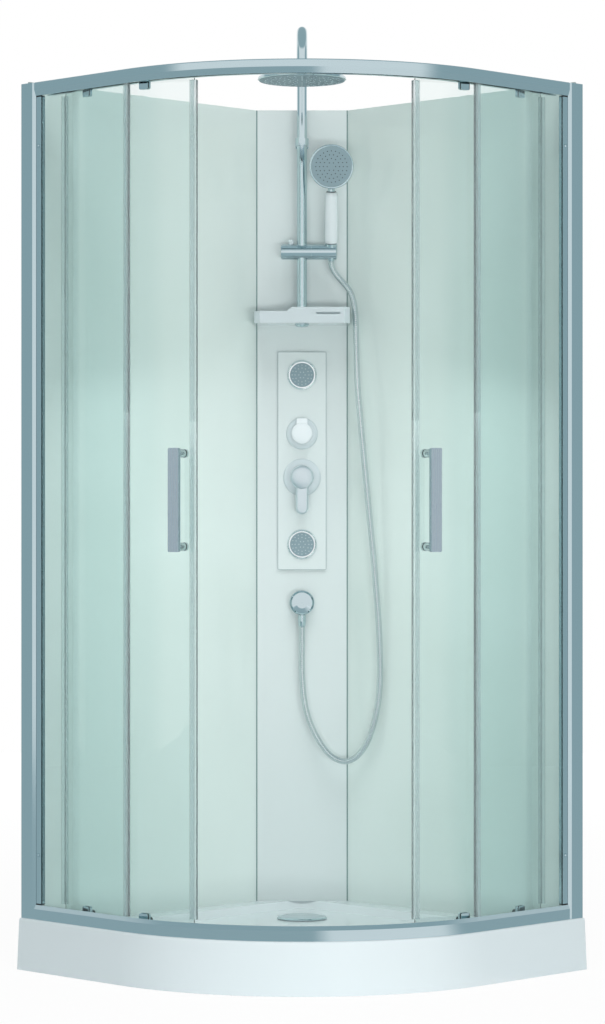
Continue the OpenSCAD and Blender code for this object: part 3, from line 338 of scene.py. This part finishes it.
# Dried water leaves faint dull patches of 20 to 40 mm
patches = add(chrome, "TexNoise", [(where.outputs["Object"], "Vector")], Scale=32.0, Detail=4.0)
add(chrome, "MapRange", [(patches.outputs["Fac"], "Value")], [("Result", "Roughness")],
    From_Min=0.35, From_Max=0.75, To_Min=0.03, To_Max=0.09)
finish(chrome, "drain_cover", "riser_pipe", "riser_bracket", "riser_base", "slider_body",
       "handset_holder", "overhead_ball", "overhead_shower", "hose_lower_nut", "hose_upper_nut",
       "outlet_elbow", "left_roller_blocks", "right_roller_blocks")

# Wall panels
# Two panes of tempered glass that line the room's walls, painted pale green at the back, so the
# colour lies under a clear glossy face.
back_painted = material("back_painted_glass", Base_Color=linear("#DDEAE6"), Roughness=0.5, IOR=1.5,
                        Coat_Weight=1.0, Coat_Roughness=0.01, Coat_IOR=1.65)
where = add(back_painted, "TexCoord")
# The paint behind the glass is rolled on: cloudy over about 300 mm, by a hair's breadth of tone
clouds = add(back_painted, "TexNoise", [(where.outputs["Object"], "Vector")], Scale=3.3, Detail=1.0)
paint_tone = add(back_painted, "ValToRGB", [(clouds.outputs["Fac"], "Fac")],
                 [("Color", "Base Color")])
paint_tone.color_ramp.elements[0].position = 0.3
paint_tone.color_ramp.elements[0].color = linear("#DAE7E3")
paint_tone.color_ramp.elements[1].position = 0.7
paint_tone.color_ramp.elements[1].color = linear("#E0ECE9")
finish(back_painted, "left_wall_panel", "right_wall_panel")

# Corner column
# Folded aluminium sheet with a baked white enamel, and a plate of the same finish for the
# controls. Dark trims cover the joints to the wall panels.
enamel = material("baked_white_enamel", Base_Color=linear("#D3DDDD"), Roughness=0.28,
                  Coat_Weight=0.25, Coat_Roughness=0.1)
where = add(enamel, "TexCoord")
# The sprayed enamel levels out to a peel of 3 mm
peel = add(enamel, "TexNoise", [(where.outputs["Object"], "Vector")], Scale=330.0)
add(enamel, "Bump", [(peel.outputs["Fac"], "Height")], [("Normal", "Normal")], Strength=0.06,
    Distance=0.0003)
finish(enamel, "column_panel")
plate_enamel = enamel.copy()
plate_enamel.name = "baked_white_enamel_plate"
plate_middle = (0, 0, 1.146)
# The plate's half width and half height, and the width of the band painted darker round its edge as
# shade
plate_half_width, plate_half_height, edge_shade_width = 0.0585, 0.261, 0.0016
where = add(plate_enamel, "TexCoord")
from_middle = add(plate_enamel, "VectorMath", [(where.outputs["Object"], 0)],
                  numbers=[(1, plate_middle)], operation="SUBTRACT")
folded = add(plate_enamel, "VectorMath", [(from_middle.outputs[0], 0)], operation="ABSOLUTE")
split = add(plate_enamel, "SeparateXYZ", [(folded.outputs[0], "Vector")])
side_edge = add(plate_enamel, "Math", [(split.outputs["X"], 0)], operation="GREATER_THAN",
                numbers=[(1, plate_half_width - edge_shade_width)])
end_edge = add(plate_enamel, "Math", [(split.outputs["Z"], 0)], operation="GREATER_THAN",
               numbers=[(1, plate_half_height - edge_shade_width)])
edge_shade = add(plate_enamel, "Math", [(side_edge.outputs[0], 0), (end_edge.outputs[0], 1)],
          operation="MAXIMUM")
# Painted shade: a thin band all round the plate's edge is darker, standing in for the shadow in the
# gap between the plate and the column
add(plate_enamel, "Mix", [(edge_shade.outputs[0], 0)], [(2, "Base Color")],
    numbers=[(6, linear("#D5DFDF")), (7, linear("#A6B4B7"))], data_type="RGBA")
finish(plate_enamel, "control_plate")
trim = material("extruded_pvc_trim", Base_Color=linear("#5F8384"), Roughness=0.5)
where = add(trim, "TexCoord")
stretch = add(trim, "Mapping", [(where.outputs["Object"], "Vector")], Scale=(1, 1, 0.01))
# Draw marks of the extruder's die, 2 mm apart along the strip
draw = add(trim, "TexNoise", [(stretch.outputs[0], "Vector")], Scale=500.0)
add(trim, "MapRange", [(draw.outputs["Fac"], "Value")], [("Result", "Roughness")],
    To_Min=0.42, To_Max=0.58)
finish(trim, "column_trims")

# Frame of the enclosure
# Extruded aluminium, brushed along its length and bright anodised: cool grey, with a highlight
# that is drawn out across the brush lines.
for name, grain_scale, parts in (
        ("anodised_aluminium_uprights", (1, 1, 0.01),
         ("left_upright", "right_upright", "glass_profiles", "profile_screws")),
        ("anodised_aluminium_rails", (0.01, 0.01, 1), ("top_rail", "bottom_rail"))):
    anodised = material(name, Base_Color=linear("#BED0D6"), Metallic=1.0, Roughness=0.12)
    where = add(anodised, "TexCoord")
    stretch = add(anodised, "Mapping", [(where.outputs["Object"], "Vector")], Scale=grain_scale)
    # Brush lines a third of a millimetre apart, drawn 1 mm apart so that they show
    lines = add(anodised, "TexNoise", [(stretch.outputs[0], "Vector")], Scale=1000.0, Detail=1.0)
    add(anodised, "Bump", [(lines.outputs["Fac"], "Height")], [("Normal", "Normal")], Strength=0.05,
        Distance=0.0003)
    add(anodised, "MapRange", [(lines.outputs["Fac"], "Value")], [("Result", "Roughness")],
        To_Min=0.09, To_Max=0.16)
    finish(anodised, *parts)

# Door handles
# A flat satin bar of anodised aluminium on two polished posts, which are screwed together
# through the glass; each post is painted black in a thin band where it meets the glass, as shade of
# the gap there.
bar_back, glass_depth = 0.0107, 0.0475
# Half the width of the black band painted round each post at the glass, as painted shade of the gap
gap_shade_reach = 0.0012
for name in ("left_handle", "right_handle"):
    mesh = nodes[name].data
    areas = np.zeros(len(mesh.polygons))
    corners = np.zeros(3 * len(mesh.vertices))
    mesh.polygons.foreach_get("area", areas)
    mesh.vertices.foreach_get("co", corners)
    facing = np.array(mesh.polygons[int(areas.argmax())].normal)
    facing *= -np.sign(facing[1])
    # The bar's outer face; bar_back and glass_depth are measured inwards from it
    outside = (corners.reshape(-1, 3) @ facing).max()
    satin = material("satin_and_polished_" + name, Metallic=1.0)
    where = add(satin, "TexCoord")
    height = add(satin, "VectorMath", [(where.outputs["Object"], 0)], numbers=[(1, tuple(facing))],
                 operation="DOT_PRODUCT")
    bar = add(satin, "Math", [(height.outputs["Value"], 0)], numbers=[(1, outside - bar_back)],
              operation="GREATER_THAN")
    from_glass = add(satin, "Math", [(height.outputs["Value"], 0)],
                     numbers=[(1, outside - glass_depth)], operation="SUBTRACT")
    gap = add(satin, "Math", [(from_glass.outputs[0], 0)], operation="ABSOLUTE")
    # Painted shade: each post is black within that half width of the glass's outer face, for the
    # shadow in the gap between post and glass
    gap_shade = add(satin, "Math", [(gap.outputs[0], 0)], numbers=[(1, gap_shade_reach)], operation="LESS_THAN")
    metal = add(satin, "Mix", [(bar.outputs[0], 0)], data_type="RGBA",
                numbers=[(6, linear("#CBD4D7")), (7, linear("#A3B3BD"))])
    add(satin, "Mix", [(gap_shade.outputs[0], 0), (metal.outputs[2], 6)], [(2, "Base Color")],
        numbers=[(7, linear("#15181A"))], data_type="RGBA")
    stretch = add(satin, "Mapping", [(where.outputs["Object"], "Vector")], Scale=(1, 1, 0.01))
    # Satin lines of the bar, drawn 1 mm apart; the posts stay smooth
    lines = add(satin, "TexNoise", [(stretch.outputs[0], "Vector")], Scale=1000.0, Detail=1.0)
    satin_gloss = add(satin, "MapRange", [(lines.outputs["Fac"], "Value")],
                      To_Min=0.2, To_Max=0.34)
    add(satin, "Mix", [(bar.outputs[0], 0), (satin_gloss.outputs[0], 3)], [(0, "Roughness")],
        numbers=[(2, 0.05)])
    finish(satin, name)

# Corner caps, shoes and wheels
# Caps and door stops in the frame's corners, shoes under the doors and the wheels that carry
# them, all of black polyamide, injection moulded, so that they slide and roll quietly.
polyamide = material("black_polyamide", Base_Color=linear("#1B1F21"), Roughness=0.4)
where = add(polyamide, "TexCoord")
# Glass fibre near the skin dulls the moulding in specks of 1 mm
specks = add(polyamide, "TexNoise", [(where.outputs["Object"], "Vector")], Scale=1000.0)
add(polyamide, "MapRange", [(specks.outputs["Fac"], "Value")], [("Result", "Roughness")],
    To_Min=0.3, To_Max=0.5)
finish(polyamide, "rail_end_blocks", "left_guide_shoes", "right_guide_shoes", "left_front_wheel",
       "left_rear_wheel", "right_front_wheel", "right_rear_wheel")

# Glass
# Tempered float glass, 5 mm thick, with the green tint that its iron gives. Lamps shine through
# it, so the tint darkens what is behind but casts no black shadow.
float_glass = material("tempered_float_glass", Base_Color=linear("#F2F9F8"), Roughness=0.0, IOR=1.5,
                       Transmission_Weight=1.0)
glass_nodes = float_glass.node_tree.nodes
path = add(float_glass, "LightPath")
lit = add(float_glass, "Math", operation="MAXIMUM",
          links=[(path.outputs["Is Shadow Ray"], 0), (path.outputs["Is Diffuse Ray"], 1)])
clear = add(float_glass, "BsdfTransparent", Color=linear("#F8FCFB"))
glossy = glass_nodes["Principled BSDF"]
pane = add(float_glass, "MixShader",
           [(lit.outputs[0], 0), (glossy.outputs[0], 1), (clear.outputs[0], 2)])
float_glass.node_tree.links.new(pane.outputs[0], glass_nodes["Material Output"].inputs["Surface"])
finish(float_glass, "left_fixed_glass", "right_fixed_glass", "left_door_glass", "right_door_glass")

# Strips on the glass edges
# Extruded clear PVC: a magnet strip on each leading edge, a lip seal on each trailing edge and
# a plain cover on each fixed edge. They gather light at their edges as clear plastic does.
clear_pvc = material("clear_extruded_pvc", Base_Color=linear("#EAF4F5"), Roughness=0.1, IOR=1.45,
                     Transmission_Weight=0.85)
where = add(clear_pvc, "TexCoord")
stretch = add(clear_pvc, "Mapping", [(where.outputs["Object"], "Vector")], Scale=(1, 1, 0.01))
# Draw marks of the die, 2 mm apart along the strip
draw = add(clear_pvc, "TexNoise", [(stretch.outputs[0], "Vector")], Scale=500.0)
add(clear_pvc, "MapRange", [(draw.outputs["Fac"], "Value")], [("Result", "Roughness")],
    To_Min=0.06, To_Max=0.2)
finish(clear_pvc, "fixed_glass_strips", "left_door_strips", "right_door_strips")

# Body jets
# A swivelling ball with a flat face of grey silicone, whose small pale nozzles stand just proud
# of it, held by a bright chromed ring.
def nozzled(name, axis, tip, face_colour, tip_colour):
    """Moulded rubber of one colour whose nozzles, all that reaches past tip metres along the
    axis, have another."""
    made = material(name, Roughness=0.45)
    where = add(made, "TexCoord")
    reach = add(made, "VectorMath", [(where.outputs["Object"], 0)], numbers=[(1, axis)],
                operation="DOT_PRODUCT")
    past = add(made, "Math", [(reach.outputs["Value"], 0)], numbers=[(1, tip)],
               operation="GREATER_THAN")
    tones = add(made, "ValToRGB", [(past.outputs[0], "Fac")], [("Color", "Base Color")])
    tones.color_ramp.elements[0].color = linear(face_colour)
    tones.color_ramp.elements[1].color = linear(tip_colour)
    # The mould's matt grain, drawn 0.8 mm coarse
    grain = add(made, "TexNoise", [(where.outputs["Object"], "Vector")], Scale=1250.0)
    add(made, "Bump", [(grain.outputs["Fac"], "Height")], [("Normal", "Normal")], Strength=0.15,
        Distance=0.0001)
    return made


# The column's face, how far the jets' faces stand out of it, and how far above them the colour
# of the nozzles starts
face_y = 0.400487
jet_face = 0.012
jet_nozzle = 0.0004
jet_tip = -(face_y - jet_face - jet_nozzle)
finish(nozzled("jet_silicone", (0, -1, 0), jet_tip, "#869BA3", "#B4C3C8"), "upper_jet", "lower_jet")
bright_chrome = material("bright_chrome_ring", Base_Color=linear("#EDF3F5"), Metallic=1.0,
                         Roughness=0.16)
where = add(bright_chrome, "TexCoord")
# Plated plastic is a little uneven, in patches of 17 mm
patches = add(bright_chrome, "TexNoise", [(where.outputs["Object"], "Vector")], Scale=60.0)
add(bright_chrome, "MapRange", [(patches.outputs["Fac"], "Value")], [("Result", "Roughness")],
    To_Min=0.12, To_Max=0.2)
finish(bright_chrome, "jet_rings")

# Diverter and mixer
# A white ABS knob with a pointer turns on a pearl grey base, and the mixer's rose is pearl grey
# too. Its lever and cap are ABS chromed over a fine blasted skin, so they shine softly.
plastics = []
for name, colour in (("moulded_white_abs", "#E4EBEE"), ("moulded_pearl_grey_abs", "#CCD7DB")):
    abs_plastic = material(name, Base_Color=linear(colour), Roughness=0.16, IOR=1.52,
                           Coat_Weight=0.4, Coat_Roughness=0.03)
    where = add(abs_plastic, "TexCoord")
    # Shrinkage behind the ribs leaves soft hollows of about 30 mm
    hollows = add(abs_plastic, "TexNoise", [(where.outputs["Object"], "Vector")], Scale=33.0)
    add(abs_plastic, "Bump", [(hollows.outputs["Fac"], "Height")], [("Normal", "Normal")],
        Strength=0.05, Distance=0.001)
    plastics.append(abs_plastic)
white_abs, pearl_abs = plastics
finish(white_abs, "diverter_knob")
finish(pearl_abs, "diverter_base", "mixer_plate", "mixer_stem", "shelf", "slider_button")
satin_chrome = material("satin_chrome_plate", Base_Color=linear("#D6E1E6"), Metallic=0.85,
                        Roughness=0.3)
where = add(satin_chrome, "TexCoord")
# Fine blasting under the chrome, drawn 1 mm coarse
blast = add(satin_chrome, "TexNoise", [(where.outputs["Object"], "Vector")], Scale=1000.0)
add(satin_chrome, "MapRange", [(blast.outputs["Fac"], "Value")], [("Result", "Roughness")],
    To_Min=0.24, To_Max=0.36)

# Height of the mixer's axis; depths of the lever out of the column; its outline and its edges
mixer_z = 1.106
lever_back, lever_front = 0.0305, 0.0475
hub_radius, tip_radius = 0.028, 0.015
lever_reach = 0.088
merge_power = 16
front_edge, back_edge = 0.005, 0.0008


def keyhole(angle):
    """Distance from the hub's axis to the lever's edge, at an angle from straight down: the
    round end and the straight sides of a bar, joined to the hub circle by the smooth maximum
    (a ** n + b ** n) ** (1 / n), n being merge_power."""
    centre = lever_reach - tip_radius
    sine, cosine = np.abs(np.sin(angle)), np.cos(angle)
    end = centre * cosine + np.sqrt(np.maximum(tip_radius ** 2 - (centre * sine) ** 2, 0))
    side = tip_radius / np.maximum(sine, 1e-6)
    bar = np.where((cosine > 0) & (np.arctan2(sine, cosine) < math.asin(tip_radius / centre)), end,
                   np.where(cosine > 0, np.minimum(side, centre), 0))
    return (hub_radius ** merge_power + bar ** merge_power) ** (1 / merge_power)


def moulded(outline, levels):
    """A moulding with a rounded rim: the outline, a closed run of (across, up), is set in by
    each level's first number along its own edge normal and lifted to the level's second number
    out of the column."""
    edge = np.roll(outline, -1, 0) - np.roll(outline, 1, 0)
    inward = np.stack([-edge[:, 1], edge[:, 0]], -1) / np.linalg.norm(edge, axis=1)[:, None]
    grid = np.concatenate([np.column_stack([outline + inset * inward, np.full(len(outline), out)])
                           for inset, out in levels])
    points = np.column_stack([grid[:, 0], face_y - grid[:, 2], grid[:, 1]])
    return points, wall_faces(len(levels), len(outline))


def rounded(back, front, radius, chamfer, steps=6):
    """Levels of a moulding from its back, whose edge is cut off by the chamfer, to its front,
    whose edge is a quarter circle of the radius."""
    bend = np.linspace(0, np.pi / 2, steps)
    return [(chamfer, back), (0, back + chamfer)] + [
        (radius * (1 - math.cos(a)), front - radius + radius * math.sin(a)) for a in bend]


# 220 angles round the hub, which crowd towards the lever's tip
u = np.linspace(-1, 1, 221)[:-1]
angles = np.pi * np.sign(u) * np.abs(u) ** 1.5
reach = keyhole(angles)
lever_outline = np.column_stack([reach * np.sin(angles), mixer_z - reach * np.cos(angles)])
lever_levels = rounded(lever_back, lever_front, front_edge, back_edge)
lever = new_piece("mixer_lever_moulding", *moulded(lever_outline, lever_levels), satin_chrome,
                  sharp=50)


def turned(profile, start, axis, sides=72):
    """A turned piece: each profile point (radius, distance along) in millimetres is carried
    round the axis from start."""
    profile = np.asarray(profile, float) / 1000
    along = np.array(axis)
    across = np.array([1.0, 0.0, 0.0])
    upward = np.cross(along, across)
    turn = np.linspace(0, 2 * np.pi, sides, endpoint=False)
    ring = np.cos(turn)[:, None] * across + np.sin(turn)[:, None] * upward
    points = (np.array(start) + profile[:, 1, None, None] * along
              + profile[:, 0, None, None] * ring[None])
    return points.reshape(-1, 3), wall_faces(len(profile), sides)


# The cap over the screw: a flat dome, which gathers the room into one shaded disc
cap_profile = [(0.5, 47), (27.2, 47), (27.6, 47.4), (27.6, 48.4), (27, 50)] + smooth_path(
    [(26, 51), (22, 52.4), (14, 53.5), (6, 53.9), (0.5, 53.95)], 18).tolist()
cap = new_piece("mixer_cap", *turned(cap_profile, (0, face_y, mixer_z), (0, -1, 0)),
                satin_chrome, sharp=60)
for piece in (lever, cap):
    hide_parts("mixer_lever")
    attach(piece, "mixer_lever")

# Behind the column
# The mixer's body is cast brass, and pipes of drawn copper lead up to the riser and down to the
# hose's outlet. Both are left as they come from the foundry and the mill.
brass = material("cast_brass", Base_Color=linear("#B59A5B"), Metallic=1.0, Roughness=0.4)
where = add(brass, "TexCoord")
# Sand grain of the casting, 1.5 mm coarse
sand = add(brass, "TexNoise", [(where.outputs["Object"], "Vector")], Scale=660.0, Detail=3.0)
add(brass, "Bump", [(sand.outputs["Fac"], "Height")], [("Normal", "Normal")], Strength=0.3,
    Distance=0.0004)
finish(brass, "mixer_body")
copper = material("drawn_copper_pipe", Base_Color=linear("#B87A55"), Metallic=1.0, Roughness=0.3)
where = add(copper, "TexCoord")
# Tarnish clouds of 20 mm
tarnish = add(copper, "TexNoise", [(where.outputs["Object"], "Vector")], Scale=50.0, Detail=4.0)
add(copper, "MapRange", [(tarnish.outputs["Fac"], "Value")], [("Result", "Roughness")],
    From_Min=0.3, From_Max=0.7, To_Min=0.22, To_Max=0.5)
finish(copper, "supply_pipes")

# Overhead shower
# A thin chromed dish on a ball joint. Its underside is a grey silicone mat with rows of pale
# nozzles, so that scale can be rubbed off.
overhead_z = 1.997
# The nozzles' tips lie at overhead_z, and their colour reaches this far up from there
overhead_nozzle = 0.0006
overhead_tip = -(overhead_z + overhead_nozzle)
finish(nozzled("overhead_silicone", (0, 0, -1), overhead_tip, "#7F959E", "#D9E6E8"),
       "overhead_nozzles")

# Hand shower
# A white ABS handle slipped over a chromed core, with a chromed round head and a face of grey
# silicone with dark nozzles. Its cone stands in the holder.
holder = Vector((0.0695, face_y - 0.045, 1.642))
# The handle leans out of the column and the head faces a little down. Along the handle from
# the holder's middle come the socket's top, a gap and the head, which stands out in front
lean, head_lean = math.radians(12), math.radians(100)
socket_top, socket_gap = 0.0195, 0.0003
head_along, head_front, head_back = 0.205, 0.012, 0.014
handle_axis = Vector((0, -math.sin(lean), math.cos(lean)))
handle_front = Vector((0, -math.cos(lean), -math.sin(lean)))
head_axis = Vector((0, -math.sin(head_lean), math.cos(head_lean)))
head_centre = holder + head_along * handle_axis + head_front * handle_front
grip_start = holder + (socket_top + socket_gap) * handle_axis
grip_profile = ([(0.5, 0), (11.4, 0), (12, 0.3), (15, 2.5), (16, 8)]
                + smooth_path([(16.4, 14), (16.3, 40), (15.8, 75), (15, 112)], 20).tolist()
                + [(14.6, 119), (13.8, 122), (12.6, 123), (0.5, 123)])
neck_profile = [(0.5, 123.1), (9.5, 123.1), (9.5, 125), (8.6, 125.1), (8, 129), (8, 133),
                (8.6, 141), (9.5, 149), (0.5, 150)]
seal_profile = [(9.6, 123.05), (11.1, 123.1), (11.3, 123.6), (11.3, 124.4), (11, 124.9),
                (9.6, 125)]
cone_profile = [(0.5, -4), (10.1, -4), (10.4, -3.6), (11.05, 19.5), (0.5, 19.5)]
head_profile = ([(0.5, 0)]
                + smooth_path([(6, 0.1), (18, 1), (34, 5), (48.5, 11)], 16).tolist()
                + [(51.2, 13), (52.3, 15), (52.5, 17), (52.5, 20.4), (52.1, 21.6),
                   (51.2, 22.4), (50, 22.5), (48.5, 22.1), (48.5, 19), (0.5, 19)])
grip = turned(grip_profile, grip_start, handle_axis)
neck = turned(neck_profile, grip_start, handle_axis)
seal = turned(seal_profile, grip_start, handle_axis)
cone = turned(cone_profile, holder, handle_axis)
head = turned(head_profile, head_centre - head_back * head_axis, head_axis, sides=96)
for name, shape, made, sharp, finish_slot in (
        ("hand_shower_handle", grip, white_abs, 40, "white_plastic"),
        ("hand_shower_neck", neck, chrome, 40, "handset_chrome"),
        ("hand_shower_seal", seal, polyamide, None, "black_plastic"),
        ("hand_shower_cone", cone, chrome, 40, "handset_chrome"),
        ("hand_shower_head", head, chrome, 40, "handset_chrome")):
    piece = new_piece(name, *shape, made, sharp)
    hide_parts("handset")
    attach(piece, "handset")
# The nozzles' colour starts halfway up them, this far in front of the head's middle
face_nozzle = 0.0082
face_tip = head_centre.dot(head_axis) + face_nozzle
finish(nozzled("hand_shower_silicone", tuple(head_axis), face_tip, "#8DA2AA", "#131C20"),
       "handset_face")
